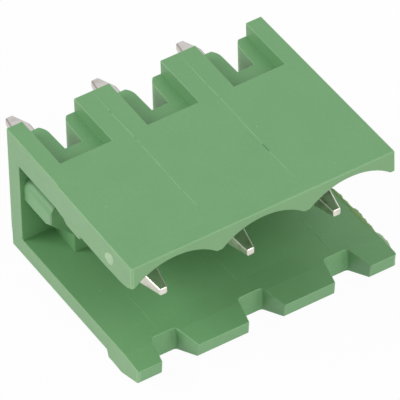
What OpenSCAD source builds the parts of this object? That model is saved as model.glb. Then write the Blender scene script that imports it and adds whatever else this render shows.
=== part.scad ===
// Board half of a pluggable terminal block, in millimetres: a moulded housing,
// open at both ends, that holds one straight square pin for each pole.
//
// X runs along the row of pins. +Y points out of the board face, along the solder
// tails, and the plug enters from -Y. +Z points from the latch wall to the arched
// wall. The origin is the middle of the row of pins, in the plane of the board face.

/* [Row of poles] */
// Number of poles
poles = 3; // [2:1:8]
// Distance between neighbouring pins
pitch = 5.08; // [5:0.02:7.62]

/* [Pins] */
// Side of the square pin
pin_side = 1; // [0.8:0.05:1.2]
// Chamfer along the pin's four long edges
pin_chamfer = 0.07; // [0:0.01:0.15]
// Mouth of the arched wall to the contact's tip, inside it
tip_setback = 1.25; // [0.5:0.05:2.5]
// Length of the contact's four-sided taper
contact_taper = 1.7; // [1:0.1:3]
// Side of the contact's blunt tip
contact_tip = 0.34; // [0.2:0.02:0.6]
// Length of the solder tail behind the board face
tail_length = 4.05; // [2.6:0.05:5]
// Length of the tail's four-sided taper
tail_taper = 1.25; // [0.5:0.05:2]
// Side of the tail's blunt tip
tail_tip = 0.44; // [0.2:0.02:0.7]
// Play between a pin and its channel, on each side
pin_play = 0; // [0:0.01:0.05]

/* [Housing] */
// Board face to the mouth of the arched wall
depth = 12; // [11.5:0.1:14]
// Pin axis to the outer face of the arched wall
arch_side = 3.84; // [3.6:0.02:4.4]
// Pin axis to the outer face of the latch wall
latch_side = 4.16; // [3.9:0.02:4.6]
// Thickness of the wall that stands on the board
board_wall = 1.05; // [0.8:0.05:1.5]
// How far each end face stands in at the board
end_relief = 0.12; // [0:0.01:0.3]
// How far the +X end face stands out at the mouth
far_draft = 0.08; // [0:0.01:0.15]
// Length of the relieved stretch of the -X end face
relief_length = 4.6; // [3:0.1:6]
// How far the -X end face stands in past that stretch
end_step = 0.06; // [0:0.01:0.1]
// Length of the -X end face's full-width stretch, at the mouth
full_length = 2.7; // [2:0.1:4]

/* [Arched wall] */
// Thickness over the top of an arch, at the mouth
crown = 0.46; // [0.4:0.02:0.7]
// Height of an arch above the cusps beside it
arch_rise = 1.17; // [1:0.01:1.3]
// Height of an arch above the cusps at the mouth, where it opens out
mouth_rise = 1.09; // [0.9:0.01:1.1]
// Length of the arches, measured from the mouth
arch_length = 4.9; // [4:0.1:6]
// Fall of the arches towards the board, in degrees
arch_draft = 1.5; // [0:0.25:3]
// Thickness between the board wall and the stop
arched_web = 1.8; // [1.4:0.02:1.9]
// Thickness of the stop behind the arches
stop = 2.05; // [1.95:0.05:2.3]
// Length of the stop
stop_length = 1.4; // [0.8:0.05:1.6]
// Thickness in front of the stop, before the arches are cut
cusp = 1.84; // [1.8:0.02:1.96]
// Thickness of a cusp at the mouth
cusp_edge = 1.34; // [1.2:0.01:1.5]
// Length of the lead-in
lead_in = 0.95; // [0.5:0.05:1.5]

/* [Recesses] */
// Width of the recess over each pin
recess_width = 3; // [2.4:0.1:4]
// Length of the recess from the board face
recess_length = 3.64; // [2.6:0.02:4.4]
// Depth of the recess below the arched wall's outer face
recess_depth = 0.88; // [0.5:0.02:1]
// Width of the tail slot at its closed end
slot_width = 0.97; // [0.8:0.01:1.2]
// Length of the tail slot from the board face
slot_length = 2.02; // [1.2:0.02:2.4]
// Sideways offset of the tail slot from the pin axis
slot_offset = 0.22; // [0:0.02:0.4]
// How much the rounded entry widens the tail slot, on each side
slot_flare = 0.28; // [0.1:0.02:0.4]
// Length of the rounded entry
flare_length = 0.65; // [0.4:0.05:0.9]
// Wall between the tail slot and the cavity
slot_wall = 0.7; // [0.4:0.05:1]

/* [Contact blocks] */
// Reach of a contact block in front of the board face
block_reach = 3.68; // [2.8:0.02:4.5]
// Gap between neighbouring contact blocks
block_gap = 0.68; // [0.4:0.02:1]
// Pin axis to the top of the block
block_top = 1; // [0.7:0.05:1.4]
// Pin axis to the shoulder of the block
block_shoulder = 0.33; // [0.2:0.01:0.5]
// Slope of the block's underside, in degrees
block_slope = 46; // [35:1:50]
// Length of the chamfer under the block's nose
nose_length = 0.5; // [0.2:0.05:0.8]
// Height of the chamfer under the block's nose
nose_height = 0.27; // [0.1:0.01:0.5]
// Width of the rib that carries the block
rib_width = 1.22; // [1.1:0.02:1.8]

/* [Latch wall] */
// Thickness where the wall leaves the board wall
latch_root = 1.04; // [0.8:0.02:1.3]
// Reach of the wall past the mouth of the arched wall
latch_lip = 0.2; // [0:0.02:0.4]
// Height of the bead on the inner face
bead = 0.07; // [0:0.01:0.2]
// Mouth edge to the crest of the bead
bead_setback = 1.42; // [1:0.02:2]
// Thickness of the wall at its mouth edge
latch_edge = 1.05; // [0.9:0.01:1.1]
// How far the wall's -X end face stands in
latch_relief = 0.15; // [0.05:0.01:0.3]
// How far that end face stands in at the mouth edge
edge_relief = 0.08; // [0:0.01:0.2]
// Height of the latch ridge on the outer face
ridge = 0.43; // [0.2:0.01:0.6]
// Mouth edge to the step of the latch ridge
ridge_setback = 3.1; // [2.8:0.05:3.6]
// Length of the ridge's flat
ridge_flat = 1.35; // [0.8:0.05:1.6]
// Height of the mouth edge that the front chamfer leaves
edge_face = 0.88; // [0.5:0.01:0.9]
// Length of the notches in the mouth edge
notch_length = 1.68; // [1:0.02:2]
// Width of a notch at its closed end
notch_inner = 1.38; // [1:0.02:1.8]
// Width of a notch at the mouth edge
notch_outer = 2.12; // [1.6:0.02:2.8]

/* [Hidden] */
$fn = 64;

// Past every face that a cut leaves the housing through
over = 1;
row_length = poles * pitch;
arch_back = depth - arch_length;
contact_reach = depth - tip_setback;
latch_mouth = depth + latch_lip;
bead_place = latch_mouth - bead_setback;
ridge_place = latch_mouth - ridge_setback;
ledge = arch_side - recess_depth;
floor_root = latch_root - latch_side;
block_half = (pitch - block_gap) / 2;
rib_top = -block_shoulder - (block_half - rib_width / 2) * tan(block_slope);
channel_side = pin_side + 2 * pin_play;
// Run of the step behind the arches, and of the ridge's back face
step_run = 0.3;
ridge_run = 0.13;
// Where the arches open out: their steeper fall, its length, and their crown's rise there
mouth_draft = 10;
mouth_length = 1.5;
crown_step = 0.05;
// Lean of the latch wall's mouth edge, and length of the bead's slope towards the board
edge_lean = 0.14;
bead_run = 1.4;
// Each side of the tail slot opens by this much for each millimetre of its length
slot_draft = 0.035;
// Length of the step in the -X end face, and of the taper at the latch wall's mouth edge
relief_run = 0.5;
edge_run = 2.5;
// Level at which the arched and board walls' end faces give way to the latch wall's
end_split = floor_root + 2 * bead;

// Distance of pole number 1..poles from the middle of the row
function pole_x(pole) = (pole - (poles + 1) / 2) * pitch;

// A Y-Z outline carried along X, centred on the middle of the row
module along_row(length) {
    rotate([90, 0, 90]) linear_extrude(length, center = true) children();
}

// An X-Z outline carried from the board face towards the mouth
module towards_mouth(length) {
    rotate([90, 0, 0]) linear_extrude(length) children();
}

// A piece at each pole
module at_each_pole() {
    for (pole = [1:poles]) translate([pole_x(pole), 0, 0]) children();
}

// C-shaped section of the moulding: arched wall, board wall and latch wall
module section() {
    polygon([
        [0, arch_side],
        [-depth, arch_side],
        [-depth, arch_side - cusp_edge],
        [-depth + lead_in, arch_side - cusp],
        [-arch_back, arch_side - cusp],
        [-arch_back, arch_side - stop],
        [-arch_back + stop_length, arch_side - stop],
        [-arch_back + stop_length + step_run, arch_side - arched_web],
        [-board_wall, arch_side - arched_web],
        [-board_wall, floor_root],
        [-bead_place + bead_run, floor_root],
        [-bead_place, floor_root + bead],
        [-latch_mouth, latch_edge - latch_side],
        [-latch_mouth + edge_lean, latch_edge - edge_face - latch_side],
        [-ridge_place - ridge_flat, -latch_side - ridge],
        [-ridge_place - ridge_run / 2, -latch_side - ridge],
        [-ridge_place + ridge_run / 2, -latch_side],
        [0, -latch_side],
    ]);
}

// Outline from above, with [stand-in, y] points for the -X end; the +X end is drafted
module plan(end_face) {
    half = row_length / 2;
    far_end = [
        [end_relief, over],
        [end_relief, 0],
        [-far_draft, -depth],
        [-far_draft, -latch_mouth - over],
    ];
    polygon(concat(
        [for (point = far_end) [half - point.x, point.y]],
        [for (i = [len(end_face) - 1:-1:0]) [end_face[i].x - half, end_face[i].y]]
    ));
}

// The C-shaped moulding, with its end faces
module walls() {
    upper_end = [
        [end_relief, over],
        [end_relief, -relief_length],
        [end_step, -relief_length - relief_run],
        [0, full_length - depth],
        [0, -latch_mouth - over],
    ];
    lower_end = [
        [latch_relief, over],
        [latch_relief, edge_run - latch_mouth],
        [edge_relief, -latch_mouth],
        [edge_relief, -latch_mouth - over],
    ];
    intersection() {
        along_row(row_length + 2 * (far_draft + over)) section();
        union() {
            translate([0, 0, end_split]) linear_extrude(arch_side - end_split + over) plan(upper_end);
            translate([0, 0, -latch_side - ridge - over])
                linear_extrude(end_split + latch_side + ridge + over) plan(lower_end);
        }
    }
}

// A round-topped groove that rises by fall, in degrees, to its crown at the mouth
module arch(rise, crown_z, fall, length) {
    radius = (pow(pitch / 2, 2) + pow(rise, 2)) / (2 * rise);
    translate([0, -depth, crown_z - radius]) rotate([90 - fall, 0, 0])
        translate([0, 0, -length]) cylinder(r = radius, h = length + over);
}

// The grooves in the arched wall that the plug's lobes slide into, opened out at the mouth
module arches() {
    crown_z = arch_side - crown;
    intersection() {
        at_each_pole() {
            arch(arch_rise, crown_z - crown_step, arch_draft, arch_length);
            arch(mouth_rise, crown_z, mouth_draft, mouth_length);
        }
        translate([-row_length, -depth - over, 0])
            cube([2 * row_length, depth + over, arch_side]);
    }
}

// Block behind each contact: shouldered front view crossed with a chamfered side view
module contact_block() {
    intersection() {
        towards_mouth(block_reach) polygon([
            [-block_half, block_top],
            [block_half, block_top],
            [block_half, -block_shoulder],
            [rib_width / 2, rib_top],
            [rib_width / 2, floor_root - latch_root / 2],
            [-rib_width / 2, floor_root - latch_root / 2],
            [-rib_width / 2, rib_top],
            [-block_half, -block_shoulder],
        ]);
        along_row(pitch) polygon([
            [-board_wall / 2, block_top],
            [-block_reach, block_top],
            [-block_reach, nose_height - block_shoulder],
            [nose_length - block_reach, -block_shoulder],
            [nose_length - block_reach, -latch_side],
            [-board_wall / 2, -latch_side],
        ]);
    }
}

// Wall that closes the tail slot off from the cavity, above the contact block
module slot_spine() {
    width = slot_width + 2 * (slot_draft * slot_length + slot_wall);
    translate([slot_offset - width / 2, -slot_length - slot_wall, block_top / 2])
        cube([width, slot_length + slot_wall - board_wall / 2, ledge - block_top / 2 - slot_wall / 2]);
}

// Slot that guides a bent tail, tapering inwards, with a rounded entry
module tail_slot() {
    entry = slot_width / 2 + slot_draft * slot_length;
    flare_start = entry - slot_draft * flare_length;
    mouth = flare_start + slot_flare;
    flare_radius = (pow(flare_length, 2) + pow(slot_flare, 2)) / (2 * slot_flare);
    translate([slot_offset, 0, pin_side / 2]) linear_extrude(arch_side) {
        polygon([
            [-slot_width / 2, -slot_length],
            [slot_width / 2, -slot_length],
            [entry, 0],
            [-entry, 0],
        ]);
        translate([-mouth, 0]) square([2 * mouth, over]);
        difference() {
            translate([-mouth, -flare_length]) square([2 * mouth, flare_length]);
            for (side = [-1, 1])
                translate([side * (flare_start + flare_radius), -flare_length]) circle(flare_radius);
        }
    }
}

// Recess over each pin, open at the board face
module recess() {
    translate([-recess_width / 2, -recess_length, ledge])
        cube([recess_width, recess_length + over, recess_depth + over]);
}

// Tapered notch in the mouth edge of the latch wall
module mouth_notch() {
    flare = (notch_outer - notch_inner) / notch_length;
    translate([0, -latch_mouth, -latch_side - ridge - over])
        linear_extrude(ridge + latch_edge + bead + 2 * over) polygon([
            [-notch_inner / 2, notch_length],
            [notch_inner / 2, notch_length],
            [notch_outer / 2 + flare * over / 2, -over],
            [-notch_outer / 2 - flare * over / 2, -over],
        ]);
}

// Square channel that a pin is pressed into
module pin_channel() {
    translate([-channel_side / 2, -block_reach - over, -channel_side / 2])
        cube([channel_side, block_reach + 2 * over, channel_side]);
}

// Lengthwise outline of a pin, with y along the pin and a taper at each end
module pin_outline() {
    half = pin_side / 2;
    upper = [
        [-contact_reach, contact_tip / 2],
        [-contact_reach + contact_taper, half],
        [tail_length - tail_taper, half],
        [tail_length, tail_tip / 2],
    ];
    lower = [for (i = [len(upper) - 1:-1:0]) [upper[i].x, -upper[i].y]];
    polygon(concat(upper, lower));
}

// The moulded housing, one piece of green plastic
module housing() {
    color([0.47, 0.66, 0.47]) difference() {
        union() {
            walls();
            at_each_pole() {
                contact_block();
                slot_spine();
            }
        }
        arches();
        at_each_pole() {
            recess();
            tail_slot();
            mouth_notch();
            pin_channel();
        }
    }
}

// A straight pin: one lengthwise outline seen from the side and from above, crossed with
// a square bar on edge that takes off the long corners
module pin(pole) {
    bar = sqrt(2) * (pin_side - pin_chamfer);
    color([0.83, 0.82, 0.79]) translate([pole_x(pole), 0, 0]) intersection() {
        along_row(pin_side) pin_outline();
        rotate([0, 0, 90]) linear_extrude(pin_side, center = true) pin_outline();
        rotate([0, 45, 0]) cube([bar, 2 * depth, bar], center = true);
    }
}

housing();
for (pole = [1:poles])
    pin(pole);
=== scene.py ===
"""Looks of a pluggable terminal block's board header: a green moulded housing and three pins.

Lengths are in metres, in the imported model's frame: X along the row of pins, +Y along the solder
tails, +Z from the latch wall to the arched wall, with the origin amid the pins in the board face.
"""

import math

import bmesh
import bpy
import numpy as np
from mathutils import Matrix, Vector


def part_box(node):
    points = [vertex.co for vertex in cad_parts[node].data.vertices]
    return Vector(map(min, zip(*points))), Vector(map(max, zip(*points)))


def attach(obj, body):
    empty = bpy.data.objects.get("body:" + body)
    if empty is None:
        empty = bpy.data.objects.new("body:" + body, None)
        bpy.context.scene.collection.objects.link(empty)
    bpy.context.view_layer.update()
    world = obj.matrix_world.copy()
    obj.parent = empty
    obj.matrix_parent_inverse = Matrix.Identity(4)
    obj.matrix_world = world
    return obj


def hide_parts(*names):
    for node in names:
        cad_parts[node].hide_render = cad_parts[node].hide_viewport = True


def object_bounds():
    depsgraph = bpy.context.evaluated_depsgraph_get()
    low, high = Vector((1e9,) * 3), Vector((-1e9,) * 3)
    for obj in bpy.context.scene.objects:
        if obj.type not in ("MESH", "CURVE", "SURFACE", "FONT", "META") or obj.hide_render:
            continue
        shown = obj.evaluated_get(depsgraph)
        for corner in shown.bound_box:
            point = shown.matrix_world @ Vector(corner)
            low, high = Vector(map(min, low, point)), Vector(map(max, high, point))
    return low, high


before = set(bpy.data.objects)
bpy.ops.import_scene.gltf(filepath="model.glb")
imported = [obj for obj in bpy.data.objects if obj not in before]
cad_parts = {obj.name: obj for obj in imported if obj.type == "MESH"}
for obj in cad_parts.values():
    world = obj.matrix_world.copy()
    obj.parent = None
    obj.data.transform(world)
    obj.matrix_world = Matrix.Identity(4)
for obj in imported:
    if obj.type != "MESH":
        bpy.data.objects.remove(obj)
cad_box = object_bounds()

MM = 0.001

# ---- Sizes of the finish ----
# Roundings of the housing's edges: the widest, then those of each kind of edge
WIDEST_ROUNDING = 0.5 * MM
EDGE_ROUNDING = 0.04 * MM
FRONT_ROUNDING = 0.075 * MM
CORNER_ROUNDING = 0.15 * MM
STOP_ROUNDING = 0.18 * MM
BLOCK_ROUNDING = 0.5 * MM
NOSE_ROUNDING = 0.16 * MM
RECESS_FILLET = 0.1 * MM
NOTCH_FILLET = 0.12 * MM
# Roundings wider than this keep the finish of the faces beside them, but for the worn corners;
# narrower ones take the paler edge finish, a painted highlight
SOFT = 0.1 * MM
ROUNDING_STEPS = 5
# Edges that turn by less than this aren't rounded
LEAST_TURN = math.radians(22)
# Places on the housing that tell its edges apart, and how near counts as there
ARCHED_FACE = -12.0 * MM
STOP_LEVEL = 1.7 * MM
CUSP_LEVEL = 2.5 * MM
LEAD_IN = 1.3 * MM
RECESS_END = -3.64 * MM
FAR_END = 7.6 * MM
NEAR_END = -7.5 * MM
STOP_FACE = -7.05 * MM
SLOT_END = -2.02 * MM
BLOCK_SIDE = 2.2 * MM
BLOCK_TOP = 1.0 * MM
BLOCK_FRONT = -3.68 * MM
END_STEP_LEVEL = -2.98 * MM
END_STEP_REACH = -7.4 * MM
BOARD_FLOOR = -3.0 * MM
NOTCH_END = -10.1 * MM
END_DEPTH = 0.2 * MM
SLIVER = 0.02 * MM
# How closely an edge runs along an axis, or a face looks along it: the cosine of the angle between
NEARLY = 0.99
FACET_RUN = 0.95
FACING = 0.9
ROUGHLY = 0.85
LEANING = 0.7
# Turns between faces: still one flat face, no longer smooth, and the sides of a cusp
FLAT_TURN = math.radians(0.5)
CRISP_TURN = math.radians(1)
CUSP_TURN = math.radians(60)
# Points nearer to each other than this become one
MERGE_DISTANCE = 0.001 * MM
# Places in the housing's list of finishes: the plain face, the edge band with its painted
# highlight, the sides with painted sheen, and the worn corner with a painted highlight
FACE, EDGE, SIDE_SHEEN, WORN = range(4)
# Tapers of a pin, and the sides of its blunt ends
CONTACT_TAPER = 1.7 * MM
CONTACT_TIP = 0.44 * MM
TAIL_TAPER = 1.25 * MM
TAIL_TIP = 0.44 * MM
PIN_CORNER = 0.12 * MM
PIN_CORNER_STEPS = 6
TIP_ROUNDING = 0.06 * MM
# Rows along a pin: close ones either side of a bend, and others clear of the tips and of the bends
BEND_ROWS = 0.12 * MM
BEND_SMOOTHING = 0.06 * MM
TIP_CLEAR = 0.1 * MM
TAPER_CLEAR = 0.2 * MM
SHANK_CLEAR = 0.3 * MM
# Witness lines between the mould's inserts: between the poles on the top, under each on the floor
SEAM_WIDTH = 0.085 * MM
SEAM_HEIGHT = 0.014 * MM
SEAM_ROOT = 0.01 * MM
SEAM_WANDER = 0.012 * MM
TOP_SEAM_START = -0.1 * MM
TOP_SEAM_REACH = [10.4 * MM, 11.0 * MM]
FLOOR_SEAM_HEIGHT = 0.008 * MM
FLOOR_SEAM_RUN = [-7.2 * MM, -9.4 * MM, -10.15 * MM]
FLOOR_SEAM_LEVELS = [-3.12 * MM, -3.119 * MM, -3.0815 * MM]
FLOOR_SEAM_END = 0.5 * MM
# Torn gate on the -X end: its place and the way its short axis points, half axes, height and root
GATE_PLACE = -9.92 * MM
GATE_BELOW_TOP = 0.9 * MM
GATE_UP = (0, 0.64, 0.77)
GATE_REACH = 0.45 * MM
GATE_RISE = 0.34 * MM
GATE_HEIGHT = 0.05 * MM
GATE_ROOT = 0.05 * MM
# Flash on the far end of the latch wall: the place along it, and how far it stands out there
LONG_FLASH = np.array([
    (6.4, 0), (6.5, 0.05), (6.9, 0.1), (7.1, 0.125), (7.2, 0.09), (7.3, 0.04), (7.6, 0.11),
    (7.9, 0.065), (8.1, 0.09), (8.3, 0.178), (8.75, 0.188), (8.9, 0.133), (9.0, 0.126),
    (9.15, 0.158), (9.4, 0.09), (9.55, 0.117), (9.8, 0.113), (10.2, 0.037), (10.25, 0),
]).T * MM
SHORT_FLASH = np.array([
    (10.2, 0), (10.3, 0.064), (10.4, 0.138), (10.5, 0.17), (11.1, 0.166), (11.4, 0.127),
    (11.5, 0.055), (11.7, 0.03), (11.95, 0.03), (12.0, 0),
]).T * MM
FLASH_LEVEL = -3.19 * MM
FLASH_HALF = 0.1 * MM
FLASH_ROOT = 0.03 * MM
# Slope of the far end face, along which the flash stands
FAR_DRAFT = 1 / 60

# ---- Camera ----
LENS = 635.6
CAMERA_TARGET = Vector((0, -6 * MM, -0.25 * MM))
CAMERA_BEARING = {"azimuth": -31.03, "elevation": 43.79, "distance": 352.7 * MM, "roll": -1.6}

# ---- Light ----
LEFT_BOX = {"azimuth": -120, "elevation": 30, "distance": 1.2, "size": 0.7, "power": 7.4}
RIGHT_BOX = {"azimuth": 18, "elevation": 36, "distance": 1.2, "size": 1.2, "power": 8.1}
TENT_LIGHT = 0.38
FLOOR_WHITENESS = 0.96
FLOOR_HALF = 1.5

# ---- Finishes: colour and roughness ----
MOULDED_FACE = (0.171, 0.385, 0.166, 1), 0.42
# Paler edge colour for the narrow roundings: a painted highlight
MOULDED_EDGE_HIGHLIGHT = (0.215, 0.435, 0.200, 1), 0.36
# Paler, greyer colour on the ends and the arched wall's front: painted sheen
SIDE_SHEEN_FACE = (0.203, 0.397, 0.186, 1), 0.45
# Worn corner, paler still with a painted highlight
WORN_CORNER_HIGHLIGHT = (0.270, 0.500, 0.240, 1), 0.4
# Pale torn plastic of the gate and the short flash, with a painted highlight
TORN_PLASTIC_HIGHLIGHT = (0.410, 0.590, 0.365, 1), 0.6
OLIVE_FLASH = (0.250, 0.415, 0.160, 1), 0.6
# A witness line, pale as a painted highlight along its ridge and dark at its breaks, on the top
# face and on the floor
SEAM_HIGHLIGHT = (0.232, 0.456, 0.218, 1)
SEAM_DARK = (0.100, 0.230, 0.100, 1)
FLOOR_SEAM_HIGHLIGHT = (0.188, 0.410, 0.182, 1)
FLOOR_SEAM_DARK = (0.145, 0.335, 0.143, 1)
SEAM_ROUGHNESS = 0.5
PLASTIC_IOR = 1.5
# How deep the plastic's grain and the tin's drawn streaks look
GRAIN_DEPTH = 0.012 * MM
STREAK_DEPTH = 0.01 * MM
# Dust and dark grains in the plastic
PALE_SPECK = (0.28, 0.50, 0.26, 1)
DARK_SPECK = (0.090, 0.210, 0.095, 1)
# Tin on the contact, on the tail and in the dull patches, and a painted dark reflection on a tail's
# round corners
BRIGHT_TIN = (0.80, 0.76, 0.69, 1)
TAIL_TIN = (0.60, 0.57, 0.55, 1)
DULL_TIN = (0.50, 0.46, 0.42, 1)
# Dark colour for a tail's round corners: a painted dark reflection
CORNER_DARK_REFLECTION = (0.30, 0.27, 0.25, 1)
TIN_ROUGHNESS = 0.36
# Where an effect starts and where it is full: the breaks of a witness line and the dull patches by
# their clouds, the painted dark reflection on the corners by their mask, and the tail by its way
# past the board face in mm
SEAM_BREAKS = 1.12, 1.3
DULL_PATCHES = 1.0, 1.5
DARK_REFLECTION_CORNERS = 0.15, 0.45
TAIL_START = 0.0, 0.5
# Scale of the drawn streaks on each axis: fine across the pin and long along it
STREAK_STRETCH = 9, 0.8, 9
# The floor and the tent
PALE_FLOOR = (0.90, 0.90, 0.90, 1)
WHITE = (1, 1, 1, 1)

# ---- Places, from the frame ----
housing_low, housing_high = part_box("housing")
pin_names = sorted(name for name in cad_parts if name.startswith("pin_"))
pin_boxes = [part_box(name) for name in pin_names]
pole_places = [(low.x + high.x) / 2 for low, high in pin_boxes]
top = housing_high.z
seam_places = [(a + b) / 2 for a, b in zip(pole_places, pole_places[1:])]


# ---- Shader helpers ----
def new_material(name):
    """An empty node material with its output, and the node tree that it is built in."""
    material = bpy.data.materials.new(name)
    material.use_nodes = True
    tree = material.node_tree
    tree.nodes.clear()
    output = tree.nodes.new("ShaderNodeOutputMaterial")
    return material, tree, output


def feed(tree, socket, value):
    """Links a socket, or sets a value."""
    if isinstance(value, bpy.types.NodeSocket):
        tree.links.new(value, socket)
    else:
        socket.default_value = value


def add(tree, kind, inputs=None, **settings):
    """A node with its settings and its inputs: for each a value, or the socket that feeds it."""
    node = tree.nodes.new("ShaderNode" + kind)
    for name, value in settings.items():
        setattr(node, name, value)
    for name, value in (inputs or {}).items():
        feed(tree, node.inputs[name], value)
    return node


def maths(tree, operation, *values):
    """The output of a math node, for values or sockets."""
    return add(tree, "Math", dict(enumerate(values)), operation=operation).outputs[0]


def new_group(name, inputs, output):
    """A shader group with float inputs, a place in millimetres, and one float output."""
    tree = bpy.data.node_groups.new(name, "ShaderNodeTree")
    tree.interface.new_socket(name="Place", in_out="INPUT", socket_type="NodeSocketVector")
    for label in inputs:
        tree.interface.new_socket(name=label, in_out="INPUT", socket_type="NodeSocketFloat")
    tree.interface.new_socket(name=output, in_out="OUTPUT", socket_type="NodeSocketFloat")
    return tree, tree.nodes.new("NodeGroupInput").outputs, tree.nodes.new("NodeGroupOutput").inputs


def use_group(tree, group, inputs):
    """The group's output in this material, with its own values."""
    return add(tree, "Group", inputs, node_tree=group).outputs[0]


def place_in_mm(tree, stretch=(1, 1, 1)):
    """The place on the object in millimetres, stretched along an axis where a pattern runs."""
    place = add(tree, "TexCoord").outputs["Object"]
    scale = tuple(s / MM for s in stretch)
    return add(tree, "Mapping", {"Vector": place, "Scale": scale}).outputs["Vector"]


def cloud_group():
    """Soft clouds around 1: 1 + Strength * (noise - 0.5) * 2."""
    tree, given, out = new_group("soft_clouds", ["Scale", "Detail", "Strength"], "Shade")
    inputs = {"Vector": given["Place"], "Scale": given["Scale"], "Detail": given["Detail"]}
    noise = add(tree, "TexNoise", inputs).outputs["Fac"]
    centred = maths(tree, "SUBTRACT", noise, 0.5)
    double = maths(tree, "MULTIPLY", given["Strength"], 2.0)
    tree.links.new(maths(tree, "MULTIPLY_ADD", centred, double, 1.0), out["Shade"])
    return tree


def speck_group():
    """Round specks: 1 within Radius of a cell's point, in the Share of cells that hold a speck."""
    tree, given, out = new_group("specks", ["Scale", "Radius", "Share"], "Mask")
    inputs = {"Vector": given["Place"], "Scale": given["Scale"], "Randomness": 1.0}
    cells = add(tree, "TexVoronoi", inputs).outputs
    near = maths(tree, "LESS_THAN", cells["Distance"], given["Radius"])
    draw = add(tree, "SeparateColor", {"Color": cells["Color"]}).outputs[0]
    chosen = maths(tree, "LESS_THAN", draw, given["Share"])
    tree.links.new(maths(tree, "MULTIPLY", near, chosen), out["Mask"])
    return tree


def shaded(tree, colour, shade):
    """The colour times a shade that varies around 1."""
    grey = add(tree, "CombineColor", {"Red": shade, "Green": shade, "Blue": shade}).outputs[0]
    parts = {"Factor": 1, 6: colour, 7: grey}
    return add(tree, "Mix", parts, data_type="RGBA", blend_type="MULTIPLY").outputs[2]


def blended(tree, under, over, mask):
    """Under, with over where the mask is 1."""
    parts = {"Factor": mask, 6: under, 7: over}
    return add(tree, "Mix", parts, data_type="RGBA", blend_type="MIX").outputs[2]


def cloudy(tree, place, scale, detail, strength):
    """Soft clouds at that place, as a shade that varies around 1."""
    inputs = {"Place": place, "Scale": scale, "Detail": detail, "Strength": strength}
    return use_group(tree, clouds, inputs)


def speckled(tree, place, scale, radius, share):
    """A mask of round specks: 1 on a speck and 0 between them."""
    inputs = {"Place": place, "Scale": scale, "Radius": radius, "Share": share}
    return use_group(tree, specks, inputs)


def ramp(tree, value, low, high):
    """0 where the value is low or less, 1 where it is high or more, and even between."""
    inputs = {"Value": value, "From Min": low, "From Max": high}
    return add(tree, "MapRange", inputs).outputs[0]


clouds = cloud_group()
specks = speck_group()


# ---- Materials ----
def moulded_plastic(name, colour, roughness):
    """Green moulded plastic: faint flow clouds, satin grain, pale dust and a few dark specks."""
    material, tree, output = new_material(name)
    place = place_in_mm(tree)
    flow = cloudy(tree, place, scale=0.45, detail=2.0, strength=0.05)
    fine = cloudy(tree, place, scale=9.0, detail=3.0, strength=0.06)
    tinted = shaded(tree, colour, maths(tree, "MULTIPLY", flow, fine))
    pale = speckled(tree, place, scale=1.1, radius=0.045, share=0.3)
    dark = speckled(tree, place, scale=0.8, radius=0.03, share=0.25)
    dusty = blended(tree, tinted, PALE_SPECK, pale)
    gloss = cloudy(tree, place, scale=3.0, detail=4.0, strength=0.18)
    grain = cloudy(tree, place, scale=14.0, detail=5.0, strength=0.5)
    bump = add(tree, "Bump", {"Height": grain, "Strength": 0.35, "Distance": GRAIN_DEPTH})
    shader = add(tree, "BsdfPrincipled", {
        "Base Color": blended(tree, dusty, DARK_SPECK, dark),
        "Roughness": maths(tree, "MULTIPLY", gloss, roughness),
        "Normal": bump.outputs["Normal"],
        "IOR": PLASTIC_IOR,
    })
    tree.links.new(shader.outputs["BSDF"], output.inputs["Surface"])
    return material


def seam_finish(name, pale, broken):
    """A witness line's finish: pale as a painted highlight where it stands proud, with dark breaks
    at random along it.
    """
    material, tree, output = new_material(name)
    breaks = cloudy(tree, place_in_mm(tree), scale=1.3, detail=3.0, strength=1.0)
    shader = add(tree, "BsdfPrincipled", {
        "Base Color": blended(tree, pale, broken, ramp(tree, breaks, *SEAM_BREAKS)),
        "Roughness": SEAM_ROUGHNESS,
        "IOR": PLASTIC_IOR,
    })
    tree.links.new(shader.outputs["BSDF"], output.inputs["Surface"])
    return material


def tinned_pin():
    """Satin tin plate with drawn streaks and dull patches, and a painted dark reflection on the
    round corners of a tail.

    The corner mask is |x * z| of the surface's normal, which is 0.5 halfway round a corner.
    """
    material, tree, output = new_material("tinned_pin_finish")
    place = place_in_mm(tree)
    patches = cloudy(tree, place, scale=1.3, detail=2.0, strength=0.9)
    way = add(tree, "SeparateXYZ", {"Vector": add(tree, "TexCoord").outputs["Normal"]}).outputs
    product = maths(tree, "MULTIPLY", way["X"], way["Z"])
    corner = ramp(tree, maths(tree, "ABSOLUTE", product), *DARK_REFLECTION_CORNERS)
    along = add(tree, "SeparateXYZ", {"Vector": place}).outputs["Y"]
    tail = ramp(tree, along, *TAIL_START)
    plain = blended(tree, BRIGHT_TIN, TAIL_TIN, tail)
    plated = blended(tree, plain, DULL_TIN, ramp(tree, patches, *DULL_PATCHES))
    dark_reflection = maths(tree, "MULTIPLY", corner, tail)
    drawn = place_in_mm(tree, STREAK_STRETCH)
    streaks = cloudy(tree, drawn, scale=1.0, detail=2.0, strength=0.3)
    bump = add(tree, "Bump", {"Height": streaks, "Strength": 0.15, "Distance": STREAK_DEPTH})
    shader = add(tree, "BsdfPrincipled", {
        "Base Color": blended(tree, plated, CORNER_DARK_REFLECTION, dark_reflection),
        "Metallic": 1.0,
        "Roughness": maths(tree, "MULTIPLY", streaks, TIN_ROUGHNESS),
        "Normal": bump.outputs["Normal"],
    })
    tree.links.new(shader.outputs["BSDF"], output.inputs["Surface"])
    return material


# ---- Mesh helpers ----
def link_piece(name, mesh, materials):
    """An object for the mesh, which rides with the housing and takes the given finishes."""
    piece = bpy.data.objects.new(name, mesh)
    bpy.context.collection.objects.link(piece)
    mesh.materials.clear()
    for material in materials:
        mesh.materials.append(material)
    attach(piece, "root")
    return piece


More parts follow.
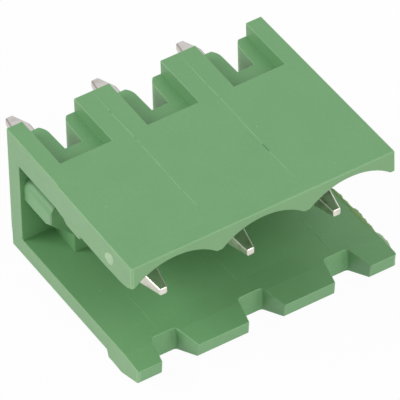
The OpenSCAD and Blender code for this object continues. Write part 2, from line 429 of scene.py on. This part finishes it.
def closed_surface(name, rows):
    """A closed mesh over a grid of points: each row closes on itself, and a pole closes each end.

    Row i, place j is the point rows[i, j]. The sign of the volume tells which way is out.
    """
    count, places, _ = rows.shape
    i, j = np.meshgrid(np.arange(count - 1), np.arange(places), indexing="ij")
    k = (j + 1) % places
    here, ahead = i * places, (i + 1) * places
    quads = np.stack([here + j, here + k, ahead + k, ahead + j], -1).reshape(-1, 4)
    points = np.vstack([rows.reshape(-1, 3), rows[0].mean(0), rows[-1].mean(0)])
    j = np.arange(places)
    k = (j + 1) % places
    end = (count - 1) * places
    first = np.stack([np.full(places, count * places), k, j], -1)
    last = np.stack([np.full(places, count * places + 1), end + j, end + k], -1)
    fans = np.vstack([first, last])
    halves = np.vstack([quads[:, [0, 1, 2]], quads[:, [0, 2, 3]], fans])
    a, b, c = (points[halves[:, n]] for n in range(3))
    if np.einsum("ij,ij->", a, np.cross(b, c)) < 0:
        quads, fans = quads[:, ::-1], fans[:, ::-1]
    mesh = bpy.data.meshes.new(name)
    mesh.from_pydata(points.tolist(), [], quads.tolist() + fans.tolist())
    mesh.polygons.foreach_set("use_smooth", np.ones(len(mesh.polygons), dtype=bool))
    return mesh


# ---- Housing ----
def merged_copy(node, name):
    """A copy of a CAD node's mesh: doubles merged, and each flat face made one polygon."""
    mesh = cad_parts[node].data.copy()
    mesh.name = name
    solid = bmesh.new()
    solid.from_mesh(mesh)
    bmesh.ops.remove_doubles(solid, verts=solid.verts, dist=MERGE_DISTANCE)
    bmesh.ops.dissolve_limit(solid, angle_limit=FLAT_TURN, verts=solid.verts, edges=solid.edges)
    solid.to_mesh(mesh)
    solid.free()
    return mesh


def edge_table(mesh):
    """Each edge's two ends, direction and turn; the turn is positive on an outer edge."""
    solid = bmesh.new()
    solid.from_mesh(mesh)
    ends = np.array([[v.co for v in e.verts] for e in solid.edges])
    turn = np.array([e.calc_face_angle_signed(0) for e in solid.edges])
    solid.free()
    run = ends[:, 1] - ends[:, 0]
    return ends, np.abs(run) / np.linalg.norm(run, axis=1)[:, None], turn


def rounding_widths(middle, way, turn):
    """How wide each edge's rounding is, from the edge's middle, direction and turn.

    Outer edges get a fine rounding and inner ones none. Softer are the contact blocks, the stop
    behind the arches, the arched wall's front and -X edges, the worn corners, the recesses' closed
    ends and the notches. It is 0 on the facets of a curved face, where a pin fills its channel, on
    the slots' floors, beside the lead-in of a cusp and at the step in the -X end face, because
    nothing there has room for a rounding. Where two rules meet, the later one holds.
    """
    x, y, z = middle.T
    along_x, along_y, along_z = way[:, 0] > NEARLY, way[:, 1] > ROUGHLY, way[:, 2] > NEARLY
    upright = way[:, 2] > LEANING
    outer, inner = turn > LEAST_TURN, turn < -LEAST_TURN
    from_pole = np.abs(x[:, None] - np.array(pole_places)).min(1)
    half_pin = (pin_boxes[0][1].x - pin_boxes[0][0].x) / 2

    def near(value, place):
        return np.abs(value - place) < SLIVER

    above_stop = z > STOP_LEVEL
    block_front = outer & near(y, BLOCK_FRONT)
    lead_in = y < ARCHED_FACE + LEAD_IN
    at_end = (x > FAR_END) | (x < NEAR_END)
    latch_front = (y < ARCHED_FACE + SLIVER) & (z < BOARD_FLOOR)
    at_pin = (from_pole < half_pin + SLIVER) & (np.abs(z) < half_pin + SLIVER)
    width = np.where(outer, EDGE_ROUNDING, 0.0)
    rules = [
        (above_stop & (z < CUSP_LEVEL - SLIVER) & along_x & outer, STOP_ROUNDING),
        (above_stop & (turn < CUSP_TURN) & along_y & lead_in, 0),
        (outer & near(from_pole, BLOCK_SIDE) & near(z, BLOCK_TOP), BLOCK_ROUNDING),
        (block_front & (from_pole > half_pin + SLIVER), NOSE_ROUNDING),
        (block_front & near(z, BLOCK_TOP), NOSE_ROUNDING),
        (block_front & along_x & (z < half_pin), 0),
        (outer & near(z, top) & near(y, ARCHED_FACE), FRONT_ROUNDING),
        (outer & near(z, top) & near(x, housing_low.x), FRONT_ROUNDING),
        (outer & near(x, housing_low.x) & near(y, ARCHED_FACE) & above_stop, CORNER_ROUNDING),
        (outer & along_z & (x < NEAR_END) & near(y, STOP_FACE) & above_stop, STOP_ROUNDING),
        (inner & near(y, RECESS_END) & along_x, RECESS_FILLET),
        (outer & upright & at_end & latch_front, CORNER_ROUNDING),
        (inner & along_z & (y < NOTCH_END) & (z < BOARD_FLOOR), NOTCH_FILLET),
        (at_pin, 0),
        (near(z, half_pin) & (y > SLOT_END - SLIVER), 0),
        (near(z, END_STEP_LEVEL) & (x < END_STEP_REACH), 0),
    ]
    for chosen, value in rules:
        width[chosen] = value
    return width


def round_edges(mesh):
    """Gives each edge its share of the widest rounding, and marks which edges stay crisp.

    Gives back the edges' ends and the widths of their roundings.
    """
    ends, way, turn = edge_table(mesh)
    width = rounding_widths(ends.mean(1), way, turn)
    mesh.attributes.new("bevel_weight_edge", "FLOAT", "EDGE").data.foreach_set(
        "value", (width / WIDEST_ROUNDING).astype(np.float32)
    )
    facet = (np.abs(turn) < LEAST_TURN) & (np.maximum(way[:, 1], way[:, 2]) > FACET_RUN)
    mesh.polygons.foreach_set("use_smooth", np.ones(len(mesh.polygons), dtype=bool))
    crisp = (np.abs(turn) > CRISP_TURN) & ~facet
    sharp = mesh.attributes.get("sharp_edge")
    sharp = sharp or mesh.attributes.new("sharp_edge", "BOOLEAN", "EDGE")
    sharp.data.foreach_set("value", crisp)
    return ends, width


def beside(centre, ends, widths):
    """Which faces have their centre within an edge's width of the line between its ends."""
    run = ends[:, 1] - ends[:, 0]
    away = centre[:, None] - ends[:, 0]
    share = np.clip((away * run).sum(2) / (run**2).sum(1), 0, 1)
    distance = np.linalg.norm(away - share[..., None] * run, axis=2)
    return (distance < widths).any(1)


def spread_finishes(mesh, ends, widths):
    """Gives each face its finish, as its place in the housing's list of materials.

    A rounding's band has the paler edge finish, a painted highlight, but on a soft edge that of the
    faces beside it, and at the worn corners a paler one with a stronger painted highlight. The ends
    and the arched wall's front get a paler, greyer colour as painted sheen.
    """
    centre = np.empty(3 * len(mesh.polygons))
    mesh.polygons.foreach_get("center", centre)
    centre = centre.reshape(-1, 3)
    index = np.empty(len(mesh.polygons), dtype=np.int32)
    mesh.polygons.foreach_get("material_index", index)
    corner = widths == CORNER_ROUNDING
    soft = (widths > SOFT) & ~corner
    index[beside(centre, ends[soft], widths[soft])] = FACE
    # The worn corners' bands: paler, with a painted highlight
    index[(index == EDGE) & beside(centre, ends[corner], widths[corner])] = WORN
    facing = np.empty(3 * len(mesh.polygons))
    mesh.polygons.foreach_get("normal", facing)
    across, along, _ = facing.reshape(-1, 3).T
    at_end = (np.abs(across) > FACING) & (np.abs(centre[:, 0]) > -housing_low.x - END_DEPTH)
    at_front = (along < -FACING) & (centre[:, 2] > STOP_LEVEL)
    # Painted sheen on the ends and the arched wall's front
    index[(at_end | at_front) & (index == FACE)] = SIDE_SHEEN
    mesh.polygons.foreach_set("material_index", index)


def make_housing():
    """The moulded housing, with the small roundings that a mould leaves on every edge."""
    mesh = merged_copy("housing", "moulded_housing")
    ends, widths = round_edges(mesh)
    finishes = [face_plastic, edge_highlight_plastic, side_sheen_plastic, worn_highlight_plastic]
    housing = link_piece("moulded_housing", mesh, finishes)
    bevel = housing.modifiers.new("rounding", "BEVEL")
    bevel.limit_method = "WEIGHT"
    bevel.width = WIDEST_ROUNDING
    bevel.segments = ROUNDING_STEPS
    bevel.use_clamp_overlap = False
    bevel.harden_normals = True
    bevel.miter_outer = "MITER_ARC"
    # The rounding's band takes the paler edge finish: a painted highlight
    bevel.material = EDGE
    graph = bpy.context.evaluated_depsgraph_get()
    finished = housing.evaluated_get(graph)
    rounded = bpy.data.meshes.new_from_object(
        finished, preserve_all_data_layers=True, depsgraph=graph
    )
    housing.modifiers.clear()
    housing.data = rounded
    spread_finishes(rounded, ends, widths)
    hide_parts("housing")


# ---- Pins ----
def rounded_square(half, corner):
    """Rings of a square with round corners: each corner's centre plus its radius at even angles."""
    angle = np.linspace(0, math.pi / 2, PIN_CORNER_STEPS + 1)
    turns = (np.arange(4)[:, None] * math.pi / 2 + angle).ravel()
    quarter = np.repeat(np.arange(4) * math.pi / 2 + math.pi / 4, PIN_CORNER_STEPS + 1)
    reach = (half - corner)[:, None] * math.sqrt(2)
    across = reach * np.cos(quarter) + corner[:, None] * np.cos(turns)
    up = reach * np.sin(quarter) + corner[:, None] * np.sin(turns)
    return across, up, turns


def make_pin(name, low, high):
    """A drawn square pin: a rounded square carried along Y, narrowing to a blunt end each way.

    The half side follows the two tapers, smoothed over a short run. At an end it also shrinks by a
    quarter round, as the last bit of length runs out. The corner's radius is at most 0.45 of it.
    """
    full = (high.x - low.x) / 2
    breaks = [low.y, low.y + CONTACT_TAPER, high.y - TAIL_TAPER, high.y]
    halves = [CONTACT_TIP / 2, full, full, TAIL_TIP / 2]
    quarter = np.linspace(0, math.pi / 2, 7)
    inset = TIP_ROUNDING * (1 - np.cos(quarter))
    near = np.linspace(-BEND_ROWS, BEND_ROWS, 9)
    along = np.concatenate([
        low.y + TIP_ROUNDING * (1 - np.sin(quarter[::-1])),
        np.linspace(low.y + TIP_CLEAR, breaks[1] - TAPER_CLEAR, 8),
        breaks[1] + near,
        np.linspace(breaks[1] + SHANK_CLEAR, breaks[2] - SHANK_CLEAR, 12),
        breaks[2] + near,
        np.linspace(breaks[2] + TAPER_CLEAR, high.y - TIP_CLEAR, 6),
        high.y - TIP_ROUNDING * (1 - np.sin(quarter)),
    ])
    blur = np.linspace(-BEND_SMOOTHING, BEND_SMOOTHING, 13)
    half = np.interp(along[:, None] + blur, breaks, halves).mean(1)
    slope = np.gradient(half, along)
    shrink = np.zeros_like(along)
    shrink[: len(quarter)] = inset[::-1]
    shrink[-len(quarter):] = inset
    tilt = np.zeros_like(along)
    tilt[: len(quarter)] = -quarter[::-1]
    tilt[-len(quarter):] = quarter
    corner = np.minimum(PIN_CORNER, 0.45 * (half - shrink))
    across, up, turns = rounded_square(half - shrink, corner)
    centre = (low.x + high.x) / 2
    rows = np.stack([centre + across, np.broadcast_to(along[:, None], across.shape), up], -1)
    mesh = closed_surface(name, rows)
    lean = np.where(tilt == 0, -np.arctan(slope), tilt)[:, None]
    flat, endways = np.cos(lean), np.broadcast_to(np.sin(lean), across.shape)
    normals = np.stack([flat * np.cos(turns), endways, flat * np.sin(turns)], -1)
    normals = np.vstack([normals.reshape(-1, 3), [[0, -1, 0], [0, 1, 0]]])
    mesh.normals_split_custom_set_from_vertices(normals.tolist())
    return mesh


def make_pins():
    """One pin for each pole."""
    for name, (low, high) in zip(pin_names, pin_boxes):
        mesh = make_pin("tinned_" + name, low, high)
        piece = link_piece("tinned_" + name, mesh, [tin])
        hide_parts(name)


# ---- Marks that the mould leaves ----
def witness_line(name, points, height):
    """A fine raised line along a face that looks up: a low round ridge carried through the points.

    Its middle wanders sideways by a sum of sines, and its height swells and fades along the way.
    """
    points = np.array(points)
    length = np.append(0, np.cumsum(np.linalg.norm(np.diff(points, axis=0), axis=1)))
    t = np.linspace(0, 1, 90)
    path = np.stack([np.interp(t * length[-1], length, axis) for axis in points.T], -1)
    forward = (points[-1] - points[0]) / np.linalg.norm(points[-1] - points[0])
    aside = np.cross(forward, [0, 0, 1])
    drift = SEAM_WANDER * (np.sin(9.1 * t + 0.6) + 0.6 * np.sin(23.7 * t + 2.1))
    swell = np.minimum(1, 8 * np.minimum(t, 1 - t))
    swell = swell * (0.75 + 0.25 * np.sin(31 * t + 1.3) * np.sin(13 * t))
    swell = np.maximum(swell, 0.05)[:, None]
    angle = np.linspace(0, 2 * math.pi, 12, endpoint=False)
    side = SEAM_WIDTH / 2 * np.cos(angle)
    rise = np.where(np.sin(angle) > 0, height, SEAM_ROOT) * np.sin(angle)
    rows = path[:, None] + (drift[:, None] + side * swell)[..., None] * aside
    rows[..., 2] += rise * swell
    return closed_surface(name, rows)


def add_seam(name, points, height, finish):
    """A witness line as a piece of its own, which rides with the housing."""
    link_piece(name, witness_line(name, points, height), [finish])


def make_seams():
    """Witness lines of the mould's inserts.

    They run between the poles on the top face, and under each pole along the cavity's floor, which
    rises a little to the bead, with a short one across its end.
    """
    for number, (x, reach) in enumerate(zip(seam_places, TOP_SEAM_REACH), 1):
        run = [(x, TOP_SEAM_START, top), (x, -reach, top)]
        add_seam(f"top_seam_{number}", run, SEAM_HEIGHT, seam_highlight_plastic)
    for number, x in enumerate(pole_places, 1):
        run = [(x, along, level) for along, level in zip(FLOOR_SEAM_RUN, FLOOR_SEAM_LEVELS)]
        add_seam(f"floor_seam_{number}", run, FLOOR_SEAM_HEIGHT, floor_seam_highlight_plastic)
        across = [run[-1], (x - FLOOR_SEAM_END, *run[-1][1:])]
        add_seam(f"floor_seam_end_{number}", across, FLOOR_SEAM_HEIGHT, floor_seam_highlight_plastic)


def torn_spot(name, centre, out, up, reach, rise, height, root):
    """A low rough dome on a wall: height * (1 - r^2)^0.7, roughened by a product of sines.

    Its edge follows an oval with half axes reach and rise; r runs from 0 at the middle to 1 at the
    rim, which goes down into the wall as deep as the root.
    """
    out, up = np.array(out, float), np.array(up, float)
    along = np.cross(up, out)
    r = np.append(np.linspace(0.06, 1, 16), 1.0)[:, None]
    turn = np.linspace(0, 2 * math.pi, 40, endpoint=False)
    wobble = 1 + 0.07 * np.sin(3 * turn + 0.7) + 0.04 * np.sin(7 * turn)
    a = reach * r * wobble * np.cos(turn)
    b = rise * r * wobble * np.sin(turn)
    rough = 1 + 0.22 * np.sin(9 * a / reach + 1) * np.sin(7 * b / rise + 2)
    proud = height * (1 - r**2) ** 0.7 * rough
    proud[-1] = -root
    rows = np.array(centre) + a[..., None] * along + b[..., None] * up + proud[..., None] * out
    return closed_surface(name, rows)


def make_gate():
    """The torn gate on the -X end of the arched wall, pale, with a painted highlight."""
    centre = [housing_low.x, GATE_PLACE, top - GATE_BELOW_TOP]
    shape = GATE_REACH, GATE_RISE, GATE_HEIGHT, GATE_ROOT
    mesh = torn_spot("gate_mark", centre, (-1, 0, 0), GATE_UP, *shape)
    link_piece("gate_mark", mesh, [torn_highlight_plastic])


def add_flash(name, outline, finish):
    """Ragged flash on the far end of the latch wall, along its upper edge.

    A flat oval is carried along Y. It is rooted in the drafted end face, and stands out by the
    outline at that place, with a ripple of two sines.
    """
    along = np.linspace(outline[0, 0], outline[0, -1], 160)
    face = housing_high.x - FAR_DRAFT * (-ARCHED_FACE - along)
    ripple = 1 + 0.08 * np.sin(13700 * along) + 0.06 * np.sin(29000 * along + 1)
    reach = np.interp(along, *outline) * ripple + FLASH_ROOT
    angle = np.linspace(0, 2 * math.pi, 16, endpoint=False)
    across = face[:, None] - FLASH_ROOT + reach[:, None] * np.cos(angle)
    up = FLASH_LEVEL + FLASH_HALF * np.sin(angle) * (0.9 + 0.1 * ripple)[:, None]
    rows = np.stack([across, np.broadcast_to(-along[:, None], across.shape), up], -1)
    link_piece(name, closed_surface(name, rows), [finish])


def make_end_flash():
    """Two runs of flash: a long one with fine teeth, and a short pale one towards the mouth, pale
    as torn plastic with a painted highlight.
    """
    add_flash("end_flash_1", LONG_FLASH, flash_plastic)
    add_flash("end_flash_2", SHORT_FLASH, torn_highlight_plastic)


# ---- Camera, floor and light ----
def aim(obj, target, azimuth, elevation, distance, roll=0):
    """Places obj at that bearing from target, looking at it. Azimuth 0 looks along +Y."""
    turn, tilt = math.radians(azimuth), math.radians(elevation)
    level = math.cos(tilt)
    back = Vector((math.sin(turn) * level, -math.cos(turn) * level, math.sin(tilt)))
    obj.rotation_mode = "QUATERNION"
    facing = (-back).to_track_quat("-Z", "Y")
    obj.rotation_quaternion = facing @ Matrix.Rotation(math.radians(roll), 3, "Z").to_quaternion()
    obj.location = target + back * distance


def make_camera():
    """A long lens from far off, so that the far edges come out hardly shorter than the near."""
    lens = bpy.data.cameras.new("camera")
    lens.lens = LENS
    lens.sensor_width = 36
    lens.clip_start = 0.01
    lens.clip_end = 20
    camera = bpy.data.objects.new("camera", lens)
    bpy.context.collection.objects.link(camera)
    aim(camera, CAMERA_TARGET, **CAMERA_BEARING)
    bpy.context.scene.camera = camera


def make_lamp(name, target, azimuth, elevation, distance, size, power):
    """A square soft box that faces the target, unseen by the camera."""
    lamp = bpy.data.lights.new(name, "AREA")
    lamp.size = size
    lamp.energy = power
    box = bpy.data.objects.new(name, lamp)
    box.visible_camera = False
    bpy.context.collection.objects.link(box)
    aim(box, target, azimuth, elevation, distance)


def seen_directly(tree):
    """1 for a ray from the camera, or one that a mirror or glass passes on, and 0 for light."""
    ray = add(tree, "LightPath").outputs
    mirrored = maths(tree, "MAXIMUM", ray["Is Camera Ray"], ray["Is Glossy Ray"])
    return maths(tree, "MAXIMUM", mirrored, ray["Is Transmission Ray"])


def mixed(tree, share, first, second):
    """The first shader where the share is 0, the second where it is 1, and a mix between."""
    inputs = {0: share, 1: first.outputs[0], 2: second.outputs[0]}
    return add(tree, "MixShader", inputs)


def make_floor():
    """Pale floor under the latch ridge. It is white where no shadow falls, and clear from below."""
    half, height = FLOOR_HALF, cad_box[0].z
    mesh = bpy.data.meshes.new("floor")
    corners = [(x * half, y * half, height) for x, y in ((-1, -1), (1, -1), (1, 1), (-1, 1))]
    mesh.from_pydata(corners, [], [(0, 1, 2, 3)])
    floor = bpy.data.objects.new("floor", mesh)
    bpy.context.collection.objects.link(floor)
    material, tree, output = new_material("floor_paper")
    paper = add(tree, "BsdfDiffuse", {"Color": PALE_FLOOR})
    glow = add(tree, "Emission", {"Color": WHITE, "Strength": 1.0})
    share = maths(tree, "MULTIPLY", seen_directly(tree), FLOOR_WHITENESS)
    from_below = add(tree, "NewGeometry").outputs["Backfacing"]
    either = mixed(tree, from_below, mixed(tree, share, paper, glow), add(tree, "BsdfTransparent"))
    tree.links.new(either.outputs[0], output.inputs["Surface"])
    mesh.materials.append(material)


def make_world():
    """A white tent: dimmer as a light than it looks to the camera and in mirrors."""
    world = bpy.data.worlds.new("tent")
    bpy.context.scene.world = world
    world.use_nodes = True
    tree = world.node_tree
    tree.nodes.clear()
    output = add(tree, "OutputWorld")
    light = add(tree, "Background", {"Color": WHITE, "Strength": TENT_LIGHT})
    seen = add(tree, "Background", {"Color": WHITE, "Strength": 1.0})
    either = mixed(tree, seen_directly(tree), light, seen)
    tree.links.new(either.outputs[0], output.inputs["Surface"])


def light_studio():
    """Two soft boxes in the tent, one to the left rear and one to the right front, both low."""
    middle = (cad_box[0] + cad_box[1]) / 2
    make_lamp("soft_box_left", middle, **LEFT_BOX)
    make_lamp("soft_box_right", middle, **RIGHT_BOX)


bpy.context.scene.view_settings.view_transform = "Standard"
make_camera()
make_world()
make_floor()
light_studio()

face_plastic = moulded_plastic("moulded_plastic_finish", *MOULDED_FACE)
# The edge, side and corner finishes are the plastic made paler as painted highlight and painted
# sheen
edge_highlight_plastic = moulded_plastic("moulded_edge_highlight_finish", *MOULDED_EDGE_HIGHLIGHT)
side_sheen_plastic = moulded_plastic("side_sheen_plastic_finish", *SIDE_SHEEN_FACE)
worn_highlight_plastic = moulded_plastic("worn_corner_highlight_finish", *WORN_CORNER_HIGHLIGHT)
torn_highlight_plastic = moulded_plastic("torn_highlight_plastic_finish", *TORN_PLASTIC_HIGHLIGHT)
flash_plastic = moulded_plastic("flash_plastic_finish", *OLIVE_FLASH)
seam_highlight_plastic = seam_finish("seam_finish", SEAM_HIGHLIGHT, SEAM_DARK)
floor_seam_highlight_plastic = seam_finish("floor_seam_finish", FLOOR_SEAM_HIGHLIGHT, FLOOR_SEAM_DARK)
tin = tinned_pin()
make_housing()
make_pins()
make_seams()
make_gate()
make_end_flash()
